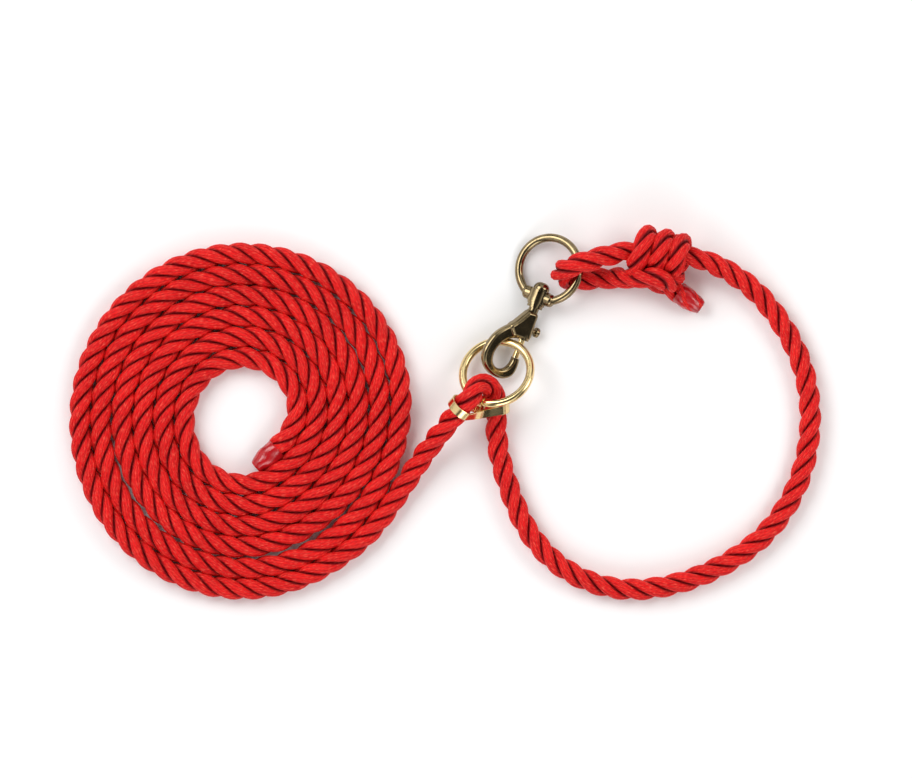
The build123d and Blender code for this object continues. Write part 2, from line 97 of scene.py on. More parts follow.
def sky_levels(axis, levels):
    """Grey levels along one axis of the sky, as (position, level) from -axis at 0 to +axis at 1."""
    span = tree.nodes.new("ShaderNodeMapRange")
    span.inputs["From Min"].default_value = -1.0
    span.inputs["From Max"].default_value = 1.0
    tree.links.new(split.outputs[axis], span.inputs["Value"])
    ramp = tree.nodes.new("ShaderNodeValToRGB")
    while len(ramp.color_ramp.elements) < len(levels):
        ramp.color_ramp.elements.new(0.5)
    for stop, (position, level) in zip(ramp.color_ramp.elements, levels):
        stop.position = position
        stop.color = (level, level, level, 1)
    tree.links.new(span.outputs[0], ramp.inputs["Fac"])
    return ramp.outputs["Color"]


SKY = [(0.50, 0.30), (0.60, 0.75), (0.74, 1.0), (0.90, 1.0), (0.95, 0.22), (0.985, 0.06)]
CARDS = [
    (0.0, 1.0), (0.22, 1.0), (0.27, 0.12), (0.36, 0.12), (0.40, 1.0),
    (0.78, 1.0), (0.82, 0.05), (0.92, 0.05), (0.95, 1.0),
]
both = tree.nodes.new("ShaderNodeMix")
both.data_type = "RGBA"
both.blend_type = "MULTIPLY"
both.inputs[0].default_value = 1.0
tree.links.new(sky_levels("Z", SKY), both.inputs[6])
tree.links.new(sky_levels("X", CARDS), both.inputs[7])
tree.links.new(both.outputs[2], back.inputs["Color"])
back.inputs["Strength"].default_value = 1.0
bpy.context.scene.view_settings.view_transform = "Standard"


# %% Floor
def mesh_object(name, vertices, faces, smooth=True):
    """A mesh object from plain lists, linked to the scene."""
    mesh = bpy.data.meshes.new(name)
    mesh.from_pydata([tuple(v) for v in vertices], [], [tuple(f) for f in faces])
    mesh.update()
    if smooth:
        mesh.polygons.foreach_set("use_smooth", [True] * len(mesh.polygons))
    thing = bpy.data.objects.new(name, mesh)
    bpy.context.scene.collection.objects.link(thing)
    return thing


FLOOR_HALF = 3.0
floor = mesh_object(
    "floor",
    [
        (-FLOOR_HALF, -FLOOR_HALF, 0),
        (FLOOR_HALF, -FLOOR_HALF, 0),
        (FLOOR_HALF, FLOOR_HALF, 0),
        (-FLOOR_HALF, FLOOR_HALF, 0),
    ],
    [(0, 1, 2, 3)],
    smooth=False,
)


# %% [markdown]
# ## Materials
# Each finish is a small node tree. The rope's yarns follow the strands' own UV map: u goes once
# round a strand and v counts metres along it.

# %% Material helpers
def new_material(name):
    """An empty principled material and its node tree."""
    material = bpy.data.materials.new(name)
    material.use_nodes = True
    return material, material.node_tree, material.node_tree.nodes["Principled BSDF"]


def noise(tree, source, scale, detail=3.0, roughness=0.6):
    """A noise texture read from a coordinate socket."""
    node = tree.nodes.new("ShaderNodeTexNoise")
    node.inputs["Scale"].default_value = scale
    node.inputs["Detail"].default_value = detail
    node.inputs["Roughness"].default_value = roughness
    tree.links.new(source, node.inputs["Vector"])
    return node.outputs["Fac"]


def ramp_node(tree, source, stops):
    """A colour ramp with (position, colour) stops."""
    node = tree.nodes.new("ShaderNodeValToRGB")
    elements = node.color_ramp.elements
    while len(elements) < len(stops):
        elements.new(0.5)
    for element, (position, colour) in zip(elements, stops):
        element.position = position
        element.color = (*colour, 1.0)
    tree.links.new(source, node.inputs["Fac"])
    return node.outputs["Color"]


def maths(tree, operation, first, second=None):
    """A maths node; each input is a socket or a number."""
    node = tree.nodes.new("ShaderNodeMath")
    node.operation = operation
    for socket, value in zip(node.inputs, (first, second)):
        if value is None:
            continue
        if isinstance(value, (int, float)):
            socket.default_value = value
        else:
            tree.links.new(value, socket)
    return node.outputs[0]


def remapped(tree, source, low, high, from_low=0.0, from_high=1.0):
    """A value moved from one range to another."""
    node = tree.nodes.new("ShaderNodeMapRange")
    node.inputs["From Min"].default_value = from_low
    node.inputs["From Max"].default_value = from_high
    node.inputs["To Min"].default_value = low
    node.inputs["To Max"].default_value = high
    tree.links.new(source, node.inputs["Value"])
    return node.outputs[0]


def mixed(tree, share, first, second, blend="MIX"):
    """Two colours mixed by a share."""
    node = tree.nodes.new("ShaderNodeMix")
    node.data_type = "RGBA"
    node.blend_type = blend
    for socket, value in ((node.inputs[0], share), (node.inputs[6], first), (node.inputs[7], second)):
        if isinstance(value, (int, float)):
            socket.default_value = value
        elif isinstance(value, tuple):
            socket.default_value = (*value, 1.0)
        else:
            tree.links.new(value, socket)
    return node.outputs[2]


def bumped(tree, height, distance, strength=1.0, normal=None):
    """A bump from a height socket."""
    node = tree.nodes.new("ShaderNodeBump")
    node.inputs["Distance"].default_value = distance
    node.inputs["Strength"].default_value = strength
    tree.links.new(height, node.inputs["Height"])
    if normal is not None:
        tree.links.new(normal, node.inputs["Normal"])
    return node.outputs["Normal"]


def object_coordinates(tree):
    """The piece's own coordinates in metres."""
    return tree.nodes.new("ShaderNodeTexCoord").outputs["Object"]


# %% Rope yarn
YARNS = 9
YARN_WANDER = 1.1                       # how far a yarn strays sideways, in yarns
FLECKS_AROUND = 44.0
FLECKS_ALONG = 420.0                    # in a metre of rope
FLECK_SLOPE = 16.0                      # turns of a fleck round its strand in a metre of rope


def rope_material():
    """Shiny red yarn flecked with pale fibres, with painted shade in the grooves between the yarns and down
    between strands.
    """
    material, tree, shader = new_material("red_yarn")
    uv = tree.nodes.new("ShaderNodeUVMap")
    uv.uv_map = "strand"
    split = tree.nodes.new("ShaderNodeSeparateXYZ")
    tree.links.new(uv.outputs["UV"], split.inputs[0])
    around = split.outputs["X"]
    along = split.outputs["Y"]
    here = object_coordinates(tree)
    outward = tree.nodes.new("ShaderNodeAttribute")
    outward.attribute_name = "outward"

    wander = noise(tree, here, 140.0, 2.0)
    yarn_count = maths(tree, "MULTIPLY", around, YARNS)
    yarn_turn = maths(tree, "ADD", yarn_count, maths(tree, "MULTIPLY", wander, YARN_WANDER))
    yarn = maths(tree, "SINE", maths(tree, "MULTIPLY", yarn_turn, 2 * math.pi))
    yarn = remapped(tree, yarn, 0.0, 1.0, -1.0, 1.0)
    leaning = maths(tree, "ADD", around, maths(tree, "MULTIPLY", along, FLECK_SLOPE))
    stretched = tree.nodes.new("ShaderNodeCombineXYZ")
    tree.links.new(maths(tree, "MULTIPLY", leaning, FLECKS_AROUND), stretched.inputs[0])
    tree.links.new(maths(tree, "MULTIPLY", along, FLECKS_ALONG), stretched.inputs[1])
    fleck = noise(tree, stretched.outputs[0], 1.0, 2.0, 0.65)

    patches = noise(tree, here, 60.0, 4.0)
    colour = ramp_node(tree, patches, [(0.30, (0.68, 0.004, 0.006)), (0.70, (0.90, 0.010, 0.010))])
    colour = mixed(tree, remapped(tree, fleck, 0.0, 0.8, 0.53, 0.70), colour, (1.0, 0.16, 0.10))
    colour = mixed(tree, remapped(tree, fleck, 0.6, 0.0, 0.32, 0.46), colour, (0.38, 0.001, 0.004))
    # Painted shade: the grooves between the yarns are darkened.
    colour = mixed(tree, remapped(tree, yarn, 0.35, 0.0, 0.0, 0.35), colour, (0.30, 0.001, 0.005))
    # Painted shade: strand faces turned in towards the rope's middle go near black, down between the
    # strands.
    strand_gap_shade = remapped(tree, outward.outputs["Fac"], 0.8, 0.0, -0.1, 0.35)
    colour = mixed(tree, strand_gap_shade, colour, (0.06, 0.0, 0.003))
    tree.links.new(colour, shader.inputs["Base Color"])
    tree.links.new(remapped(tree, fleck, 0.45, 0.70), shader.inputs["Roughness"])
    shader.inputs["Specular IOR Level"].default_value = 0.16
    fine = bumped(tree, fleck, 0.0005, 0.8)
    tree.links.new(bumped(tree, yarn, 0.0004, 0.6, fine), shader.inputs["Normal"])
    return material


# %% Film, brass and steel
def film_material():
    """Clear red film shrunk over the sealed rope end."""
    material, tree, shader = new_material("red_film")
    here = object_coordinates(tree)
    wrinkle = noise(tree, here, 420.0, 3.0)
    cloud = noise(tree, here, 120.0, 3.0)
    red = ramp_node(tree, cloud, [(0.3, (0.30, 0.002, 0.006)), (0.7, (0.58, 0.012, 0.016))])
    tree.links.new(red, shader.inputs["Base Color"])
    tree.links.new(remapped(tree, wrinkle, 0.10, 0.26), shader.inputs["Roughness"])
    shader.inputs["Coat Weight"].default_value = 0.3
    shader.inputs["Coat Roughness"].default_value = 0.06
    tree.links.new(bumped(tree, wrinkle, 0.0004, 0.3), shader.inputs["Normal"])
    return material


def dotted(tree, source, direction):
    """How far a coordinate lies along a direction."""
    node = tree.nodes.new("ShaderNodeVectorMath")
    node.operation = "DOT_PRODUCT"
    tree.links.new(source, node.inputs[0])
    node.inputs[1].default_value = direction
    return node.outputs["Value"]


def brass_material(name, bright, dull, rough, spots, seam=None):
    """Plated brass with faint clouding, fine scratches and darker specks, and a weld seam if asked."""
    material, tree, shader = new_material(name)
    here = object_coordinates(tree)
    cloud = noise(tree, here, 90.0, 4.0)
    squashed = tree.nodes.new("ShaderNodeMapping")
    squashed.inputs["Scale"].default_value = (1.0, 1.0, 7.0)
    squashed.inputs["Rotation"].default_value = (0.3, 0.5, 0.4)
    tree.links.new(here, squashed.inputs["Vector"])
    scratch = noise(tree, squashed.outputs[0], 900.0, 2.0, 0.8)
    speck = noise(tree, here, 700.0, 2.0, 0.4)
    colour = ramp_node(tree, cloud, [(0.3, dull), (0.65, bright)])
    pits = remapped(tree, speck, 0.0, spots, 0.62, 0.74)
    colour = mixed(tree, pits, colour, tuple(0.35 * c for c in dull))
    if seam is not None:
        place, along, out = seam
        off = maths(tree, "ABSOLUTE", maths(tree, "SUBTRACT", dotted(tree, here, along), place.dot(along)))
        outside = maths(tree, "SUBTRACT", dotted(tree, here, out), place.dot(out))
        side = maths(tree, "GREATER_THAN", outside, -SEAM_REACH)
        line = maths(tree, "MULTIPLY", remapped(tree, off, 0.9, 0.0, 0.0, SEAM_WIDTH), side)
        colour = mixed(tree, line, colour, (0.10, 0.06, 0.03))
    tree.links.new(colour, shader.inputs["Base Color"])
    shader.inputs["Metallic"].default_value = 1.0
    tree.links.new(
        maths(tree, "ADD", remapped(tree, cloud, rough, rough + 0.12), remapped(tree, scratch, 0.0, 0.08)),
        shader.inputs["Roughness"],
    )
    tree.links.new(bumped(tree, scratch, 0.00004, 0.35), shader.inputs["Normal"])
    return material


def steel_material():
    """Drawn spring wire."""
    material, tree, shader = new_material("spring_wire")
    here = object_coordinates(tree)
    streak = noise(tree, here, 1500.0, 2.0)
    grey = ramp_node(tree, streak, [(0.3, (0.34, 0.34, 0.35)), (0.7, (0.62, 0.62, 0.63))])
    tree.links.new(grey, shader.inputs["Base Color"])
    shader.inputs["Metallic"].default_value = 1.0
    tree.links.new(remapped(tree, streak, 0.22, 0.4), shader.inputs["Roughness"])
    return material


def floor_material():
    """Pale paper with a very faint unevenness."""
    material, tree, shader = new_material("pale_floor")
    here = object_coordinates(tree)
    cloud = noise(tree, here, 3.0, 2.0)
    pale = ramp_node(tree, cloud, [(0.3, (0.95, 0.95, 0.95)), (0.7, (0.97, 0.97, 0.97))])
    tree.links.new(pale, shader.inputs["Base Color"])
    shader.inputs["Roughness"].default_value = 0.85
    shader.inputs["Specular IOR Level"].default_value = 0.1
    return material


RING_CENTRE = Vector((-11.1, -26.3, 15.35)) * MM
RING_RADIUS = 19.8 * MM
RING_TILT = math.radians(29.0)
RING_UPHILL = math.radians(-65.2)
SEAM_TURN = math.radians(40.0)
SEAM_WIDTH = 0.18 * MM
SEAM_REACH = 5.0 * MM


def ring_place(angle):
    """Point on the ring's middle line, the ring's direction there and the way out."""
    uphill = Vector((math.cos(RING_UPHILL), math.sin(RING_UPHILL), 0.0))
    level = Vector((-math.sin(RING_UPHILL), math.cos(RING_UPHILL), 0.0))
    rise = uphill * math.cos(RING_TILT) + Vector((0, 0, math.sin(RING_TILT)))
    out = level * math.cos(angle) + rise * math.sin(angle)
    return RING_CENTRE + out * RING_RADIUS, rise * math.cos(angle) - level * math.sin(angle), out


ROPE = rope_material()
FILM = film_material()
BRIGHT_GOLD = (0.92, 0.73, 0.38)
DULL_GOLD = (0.72, 0.53, 0.24)
PALE_BRASS = brass_material("pale_brass", BRIGHT_GOLD, DULL_GOLD, 0.07, 0.35)
RING_BRASS = brass_material("ring_brass", BRIGHT_GOLD, DULL_GOLD, 0.07, 0.35, ring_place(SEAM_TURN))
DARK_BRASS = brass_material("antique_brass", (0.34, 0.26, 0.14), (0.20, 0.15, 0.08), 0.06, 0.6)
STEEL = steel_material()
floor.data.materials.append(floor_material())

FINISHES = {
    "tie_ring": RING_BRASS,
    "swivel_eye": DARK_BRASS,
    "swivel_pin": DARK_BRASS,
    "swivel_washer": DARK_BRASS,
    "snap_body": DARK_BRASS,
    "snap_bolt": PALE_BRASS,
    "thumb_knob": DARK_BRASS,
    "bolt_spring": STEEL,
}
for node, material in FINISHES.items():
    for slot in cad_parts[node].material_slots:
        slot.material = material

# %% [markdown]
# ## The rope's route
# The route is one list of control points: the coil from a loop, the rest listed one by one, and the
# hitch in its own round coordinates about the standing rope.

# %% Coil
ROPE_DIAMETER = 12.7 * MM
ROPE_RADIUS = ROPE_DIAMETER / 2
FLOOR_CENTRE = ROPE_RADIUS
COIL_CENTRE = Vector((-0.1572, -0.0544, 0.0))
COIL_FIRST_RADIUS = 35.2 * MM
COIL_PITCH = 12.0 * MM
COIL_OVAL = 1.45 * MM
COIL_STEP_ANGLE = -62.0
COIL_STEP_SPREAD = 95.0
COIL_TURNS = 5
COIL_START_ANGLE = -46.0
COIL_START_RADIUS = 25.4 * MM
COIL_END_TUCK = 6.0
COIL_END_ANGLE = 310.0 + 360.0 * COIL_TURNS
COIL_POINTS_PER_TURN = 24
SLACK_PLACES = [(1739.0, 0.9), (1379.0, -0.7), (1292.0, -0.8), (1652.0, 0.4), (1829.0, 0.6), (1105.0, -0.7)]
SLACK_SPREAD = 26.0


def coil_radius(angle):
    """Radius of the rope's middle at an angle counted on through all the turns."""
    turns = (angle - COIL_STEP_ANGLE) / 360.0
    whole = math.floor(turns)
    share = min(1.0, (turns - whole) * 360.0 / COIL_STEP_SPREAD)
    ramp = share * share * (3.0 - 2.0 * share)
    oval = -COIL_OVAL * math.cos(2.0 * math.radians(angle))
    slack = 0.0
    for place, size in SLACK_PLACES:
        slack += size * MM * math.exp(-(((angle - place) / SLACK_SPREAD) ** 2))
    return max(COIL_START_RADIUS, COIL_FIRST_RADIUS + COIL_PITCH * (whole - 1 + ramp) + oval) + slack


def coil_control(angle):
    """Control point outside the rope's line by as much as the spline cuts inside it."""
    half_step = math.pi / COIL_POINTS_PER_TURN
    radius = coil_radius(angle) / math.cos(half_step)
    turn = math.radians(angle)
    return COIL_CENTRE + Vector((radius * math.cos(turn), radius * math.sin(turn), FLOOR_CENTRE))


def coil_route():
    """Control points of the coil from its inner end to where the lead leaves it."""
    step = 360.0 / COIL_POINTS_PER_TURN
    count = int((COIL_END_ANGLE - COIL_START_ANGLE) // step)
    return [coil_control(COIL_END_ANGLE - step * (count - i)) for i in range(count + 1)]


SLEEVE_LENGTH = 12.6 * MM
first_turn = coil_route()
tuck = math.radians(COIL_START_ANGLE - COIL_END_TUCK)
tuck_heading = Vector((math.sin(tuck), -math.cos(tuck), 0.0))
start_radius = coil_radius(COIL_START_ANGLE)
start_turn = math.radians(COIL_START_ANGLE)
coil_start = COIL_CENTRE + Vector(
    (start_radius * math.cos(start_turn), start_radius * math.sin(start_turn), FLOOR_CENTRE)
)
inner_end = coil_start + tuck_heading * SLEEVE_LENGTH
print("coil control points", len(first_turn))


# %% Lead, ring fold, neck loop
def millimetres(points):
    """Points given in millimetres, as vectors in metres."""
    return [Vector(point) * MM for point in points]


exit_turn = math.radians(COIL_END_ANGLE)
exit_radius = coil_radius(COIL_END_ANGLE)
coil_exit = COIL_CENTRE + Vector(
    (exit_radius * math.cos(exit_turn), exit_radius * math.sin(exit_turn), FLOOR_CENTRE)
)
exit_heading = Vector((-math.sin(exit_turn), math.cos(exit_turn), 0.0))
LEAD = [coil_exit + exit_heading * 18.0 * MM] + millimetres(
    [
        (-68.2, -97.4, 6.35),
        (-51.7, -71.9, 11.0),
        (-36.7, -52.9, 23.8),
    ]
)
FOLD = millimetres(
    [
        (-26.6, -41.3, 30.9),
        (-21.8, -33.2, 25.0),
        (-15.5, -33.1, 18.7),
        (-12.0, -38.2, 12.4),
        (-11.6, -47.4, 10.8),
        (-11.2, -59.4, 8.0),
    ]
)
LOOP = millimetres(
    [
        (-10.1, -72.4, 6.6),
        (-4.4, -92.4, 6.35),
        (6.6, -119.0, 6.35),
        (26.8, -140.4, 6.35),
        (54.5, -151.8, 6.35),
        (86.2, -150.7, 6.35),
        (119.1, -138.6, 6.35),
        (146.2, -119.0, 6.35),
        (163.5, -91.3, 6.35),
        (170.4, -59.5, 6.35),
        (168.2, -30.7, 6.35),
        (158.3, -5.3, 6.35),
        (139.3, 20.7, 6.5),
        (119.1, 33.9, 10.0),
        (108.5, 37.7, 14.9),
    ]
)
KNOT_RIGHT = Vector((99.5, 40.3, 17.5)) * MM
KNOT_LEFT = Vector((68.0, 44.0, 17.5)) * MM
EYE_TURN = millimetres(
    [
        (53.3, 40.8, 21.0),
        (40.8, 37.2, 25.3),
        (30.6, 34.2, 25.3),
        (24.4, 30.7, 15.5),
        (30.3, 27.0, 6.4),
        (43.3, 27.4, 6.5),
        (56.8, 28.2, 8.0),
    ]
)

# %% [markdown]
# The hitch: the rope rides across the wraps on its near side, dives under the standing rope at
# the far end and winds back over itself three times. Each point is a distance along the standing
# rope, an angle about it (0 is the far side, 90 the top) and a radius.

# %% Hitch
KNOT_WINDING = [
    (1.6, 166.0, 17.0),
    (8.0, 144.0, 19.0),
    (16.0, 141.0, 19.2),
    (22.6, 172.0, 18.0),
    (26.4, 226.0, 13.6),
    (27.4, 285.0, 10.6),
    (26.4, 345.0, 8.4),
    (25.6, 405.0, 9.0),
    (24.4, 455.0, 10.6),
    (22.8, 510.0, 10.6),
    (20.8, 560.0, 10.6),
    (19.0, 615.0, 10.6),
    (17.7, 670.0, 9.3),
    (16.8, 725.0, 9.6),
    (15.6, 780.0, 10.6),
    (14.0, 825.0, 10.6),
    (11.8, 880.0, 10.6),
    (9.8, 935.0, 10.6),
    (8.2, 990.0, 9.7),
    (7.2, 1045.0, 9.9),
    (6.2, 1100.0, 10.6),
    (4.8, 1150.0, 10.6),
    (2.4, 1205.0, 10.8),
    (0.8, 1250.0, 12.2),
    (1.6, 1284.0, 16.0),
    (7.0, 1290.0, 17.6),
    (12.6, 1291.0, 18.6),
]
knot_axis = (KNOT_RIGHT - KNOT_LEFT).normalized()
knot_far = Vector((-knot_axis.y, knot_axis.x, 0.0))


def knot_point(along, angle, radius):
    """Point of the hitch in metres."""
    turn = math.radians(angle)
    out = knot_far * math.cos(turn) + Vector((0, 0, 1)) * math.sin(turn)
    return KNOT_LEFT + knot_axis * along * MM + out * radius * MM


HITCH = [knot_point(*place) for place in KNOT_WINDING]
TAIL = millimetres([(89.8, 22.2, 7.2), (98.9, 16.1, 6.5), (106.3, 11.2, 6.4)])
ROUTE = [inner_end, *first_turn, *LEAD, *FOLD, *LOOP, KNOT_RIGHT, KNOT_LEFT, *EYE_TURN, *HITCH, *TAIL]
print("route control points", len(ROUTE))


# %% The spline
def spline_points(points, resolution=10):
    """Points of the smooth spline that has a route's points as its control points."""
    curve = bpy.data.curves.new("route", "CURVE")
    curve.dimensions = "3D"
    curve.resolution_u = resolution
    spline = curve.splines.new("NURBS")
    spline.points.add(len(points) - 1)
    for place, point in zip(spline.points, points):
        place.co = (*point, 1.0)
    spline.order_u = 3
    spline.use_endpoint_u = True
    holder = bpy.data.objects.new("route", curve)
    bpy.context.scene.collection.objects.link(holder)
    bpy.context.view_layer.update()
    mesh = bpy.data.meshes.new_from_object(holder)
    line = np.array([vertex.co[:] for vertex in mesh.vertices])
    bpy.data.objects.remove(holder)
    bpy.data.meshes.remove(mesh)
    return line


def evenly(line, spacing):
    """The same line with points at even distances."""
    steps = np.linalg.norm(np.diff(line, axis=0), axis=1)
    keep = np.concatenate([[True], steps > 1e-7])
    line = line[keep]
    distance = np.concatenate([[0.0], np.cumsum(np.linalg.norm(np.diff(line, axis=0), axis=1))])
    count = int(round(distance[-1] / spacing)) + 1
    wanted = np.linspace(0.0, distance[-1], count)
    return np.column_stack([np.interp(wanted, distance, line[:, k]) for k in range(3)]), wanted


centre_line, centre_distance = evenly(spline_points(ROUTE), 2.0 * MM)


# %% [markdown]
# ## Strands
# Three strands lie in a right-hand twist. Each has nine yarns, seen as low ridges that run almost
# along the rope because they are twisted the other way. Where the rope is pulled tight in the
# hitch, and at its sealed tips, it is thinner.

# %% Frames along the line
def carried_frames(line):
    """Tangents and two side directions carried along a line without twist."""
    tangents = np.gradient(line, axis=0)
    tangents /= np.linalg.norm(tangents, axis=1)[:, None]
    side = np.cross(tangents[0], [0.0, 0.0, 1.0])
    side /= np.linalg.norm(side)
    sides = [side]
    for tangent in tangents[1:]:
        side = sides[-1] - tangent * np.dot(sides[-1], tangent)
        sides.append(side / np.linalg.norm(side))
    sides = np.array(sides)
    return tangents, sides, np.cross(tangents, sides)


LAY_LENGTH = 38.0 * MM
STRANDS = 3
STRAND_SHARE = 0.464                    # strand radius over rope radius
OFFSET_SHARE = 0.536                    # strand's distance from the rope's middle over rope radius
COLUMNS = 18
YARN_HEIGHT = 0.22 * MM
TIGHT = 0.94                            # thickness in the hitch
TIGHT_BLEND = 10.0 * MM
SEALED = 0.64                           # thickness at the sealed tips


def tightness(line, distance):
    """Share of the full thickness at each point: less inside the hitch and at the sealed tips."""
    middle = np.array((KNOT_LEFT + KNOT_RIGHT) / 2)
    near = np.linalg.norm(line - middle, axis=1)
    share = np.clip((near - 22.0 * MM) / TIGHT_BLEND, 0.0, 1.0)
    from_tip = np.clip(np.minimum(distance, distance[-1] - distance) / SLEEVE_LENGTH, 0.0, 1.0)
    sealed = SEALED + (1.0 - SEALED) * np.sin(from_tip * np.pi / 2)
    return (TIGHT + (1.0 - TIGHT) * share) * sealed


def strand_mesh(name, line, distance, thickness, columns=COLUMNS):
    """The rope's strands as one mesh of closed tubes, with a UV map along them."""
    tangents, sides, ups = carried_frames(line)
    wander = 0.10 * np.sin(distance * 61.0) + 0.08 * np.sin(distance * 23.0 + 1.3)
    vertices = []
    outward = []
    for strand in range(STRANDS):
        turn = 2 * np.pi * (distance / LAY_LENGTH + strand / STRANDS) + wander
        out = sides * np.cos(turn)[:, None] + ups * np.sin(turn)[:, None]
        offset = OFFSET_SHARE * ROPE_RADIUS * thickness
        middle = line + out * offset[:, None]
        heading = np.gradient(middle, axis=0)
        heading /= np.linalg.norm(heading, axis=1)[:, None]
        radial = out - heading * np.sum(out * heading, axis=1)[:, None]
        radial /= np.linalg.norm(radial, axis=1)[:, None]
        across = np.cross(heading, radial)
        radius = STRAND_SHARE * ROPE_RADIUS * thickness * (1 + 0.02 * np.sin(distance * 97.0 + 2.1 * strand))
        for column in range(columns):
            angle = 2 * np.pi * column / columns - turn
            ridge = YARN_HEIGHT * (0.5 if column % 2 else -0.5)
            reach = radius + ridge
            spoke = radial * np.cos(angle)[:, None] + across * np.sin(angle)[:, None]
            ring = middle + spoke * reach[:, None]
            vertices.append(ring)
            outward.append(np.cos(angle))
    rings = len(line)
    stacked = np.concatenate(vertices)
    quads = []
    quad_uv = []
    caps = []
    for strand in range(STRANDS):
        first = strand * columns * rings
        for column in range(columns):
            here = first + column * rings
            there = first + ((column + 1) % columns) * rings
            row = np.arange(rings - 1)
            quads.append(np.column_stack([here + row, there + row, there + row + 1, here + row + 1]))
            low, high = column / columns, (column + 1) / columns
            along_low, along_high = distance[:-1], distance[1:]
            quad_uv.append(
                np.column_stack(
                    [
                        np.full(rings - 1, low), along_low, np.full(rings - 1, high), along_low,
                        np.full(rings - 1, high), along_high, np.full(rings - 1, low), along_high,
                    ]
                )
            )
        caps.append([first + column * rings for column in reversed(range(columns))])
        caps.append([first + column * rings + rings - 1 for column in range(columns)])
    quads = np.concatenate(quads)
    quad_uv = np.concatenate(quad_uv).reshape(-1, 2)
    mesh = bpy.data.meshes.new(name)
    mesh.from_pydata(stacked.tolist(), [], quads.tolist() + caps)
    layer = mesh.uv_layers.new(name="strand")
    flat = np.zeros((len(mesh.loops), 2))
    flat[: len(quad_uv)] = quad_uv
    layer.data.foreach_set("uv", flat.ravel())
    mesh.attributes.new("outward", "FLOAT", "POINT").data.foreach_set("value", np.concatenate(outward))
    mesh.polygons.foreach_set("use_smooth", [True] * len(mesh.polygons))
    mesh.update()
    test = bmesh.new()
    test.from_mesh(mesh)
    volume = test.calc_volume(signed=True)
    if volume < 0:
        bmesh.ops.reverse_faces(test, faces=test.faces)
        test.to_mesh(mesh)
    test.free()
    thing = bpy.data.objects.new(name, mesh)
    bpy.context.scene.collection.objects.link(thing)
    print(name, "triangles", 2 * len(quads) + STRANDS * 2 * (columns - 2), "volume", volume)
    return thing


thickness = tightness(centre_line, centre_distance)
rope = strand_mesh("rope", centre_line, centre_distance, thickness)
rope.data.materials.append(ROPE)
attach(rope, "rope")
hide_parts("lead_coil", "lead_run", "slide_bight", "neck_loop", "knot_body", "eye_bight", "knot_tail")


# %% [markdown]
# ## Sealed ends
# Each end of the rope is wrapped in clear red film, shrunk tight so the strands still show as
# three soft lobes, and melted into a flat, slightly rounded face.

# %% Sleeves
FILM_OVER = 0.6 * MM                    # the film reaches this far past the strands


def sealed_end(name, line, distance, from_start, node):
    """Film over the last stretch of the rope at one end."""
    if not from_start:
        line = line[::-1]
    phase = 2 * np.pi * distance / LAY_LENGTH
    share = thickness
    if not from_start:
        phase = phase[::-1]
        share = thickness[::-1]
    count = int(SLEEVE_LENGTH / (distance[1] - distance[0])) + 2
    columns = 48
    stations = np.linspace(0.0, 1.0, 26)
    tangents, sides, ups = carried_frames(line[: count + 1])
    spot = np.linspace(0.0, 1.0, count + 1)
    rings = []
    for station in stations:
        middle = np.array([np.interp(station, spot, line[: count + 1, k]) for k in range(3)])
        side = np.array([np.interp(station, spot, sides[:, k]) for k in range(3)])
        up = np.array([np.interp(station, spot, ups[:, k]) for k in range(3)])
        twist = np.interp(station, spot, phase[: count + 1])
        middle = middle - tangents[0] * FILM_OVER * (1.0 - station)
        full = ROPE_RADIUS * np.interp(station, spot, share[: count + 1])
        end_round = math.sqrt(max(0.0, 1.0 - max(0.0, (0.12 - station) / 0.12) ** 2))
        ring = []
        for column in range(columns):
            angle = 2 * math.pi * column / columns
            lobe = 0.045 * math.cos(3 * (angle - (twist if from_start else -twist)))
            crease = 0.012 * math.sin(11 * angle + 9 * station)
            reach = full * 0.985 * (1.0 + lobe + crease) * (0.86 + 0.14 * end_round)
            ring.append(middle + (side * math.cos(angle) + up * math.sin(angle)) * reach)
        rings.append(ring)
    vertices = [point for ring in rings for point in ring]
    faces = []
    for row in range(len(rings) - 1):
        for column in range(columns):
            following = (column + 1) % columns
            here, above = row * columns, (row + 1) * columns
            faces.append((here + column, here + following, above + following, above + column))
    faces.append(tuple(reversed(range(columns))))
    faces.append(tuple((len(rings) - 1) * columns + column for column in range(columns)))
    piece = mesh_object(name, vertices, faces)
    test = bmesh.new()
    test.from_mesh(piece.data)
    bmesh.ops.recalc_face_normals(test, faces=test.faces)
    test.to_mesh(piece.data)
    test.free()
    piece.data.polygons.foreach_set("use_smooth", [len(p.vertices) == 4 for p in piece.data.polygons])
    piece.data.materials.append(FILM)
    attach(piece, "rope")
    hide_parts(node)
    return piece


coil_end = sealed_end("coil_end_film", centre_line, centre_distance, True, "coil_end_sleeve")
tail_end = sealed_end("tail_end_film", centre_line, centre_distance, False, "tail_end_sleeve")

# %% [markdown]
# ## Keeper band
# One flat strip is bent into a closed loop round both legs of the rope, with a shallow V between
# them. A small lug on it holds the ring.

# %% Strip
BAND_POST = Vector((-22.4, -49.1, 19.5)) * MM
LEG_LEFT = (Vector((-36.7, -52.9, 23.8)) * MM, Vector((-26.6, -41.3, 30.9)) * MM)
LEG_RIGHT = (Vector((-11.2, -59.4, 8.0)) * MM, Vector((-11.6, -47.4, 10.8)) * MM)
STRIP_HALF = 2.6 * MM
STRIP_THICK = 1.1 * MM
STRIP_RADIUS = 7.5 * MM
STRIP_WAIST = 3.4 * MM
LUG_TURN = math.radians(139.0)
LUG_INSIDE = 2.75 * MM
LUG_WALL = 0.8 * MM
LUG_HALF = 1.8 * MM
STEM_RADIUS = 1.5 * MM


def leg_frame(leg):
    """Foot of the post on a leg, the leg's direction, the way out from the post and the way up."""
    start, end = leg
    along = (end - start).normalized()
    hold = start + along * (BAND_POST - start).dot(along)
    out = (hold - BAND_POST).normalized()
    up = along.cross(out)
    return hold, along, out, (up if up.z > 0 else -up)


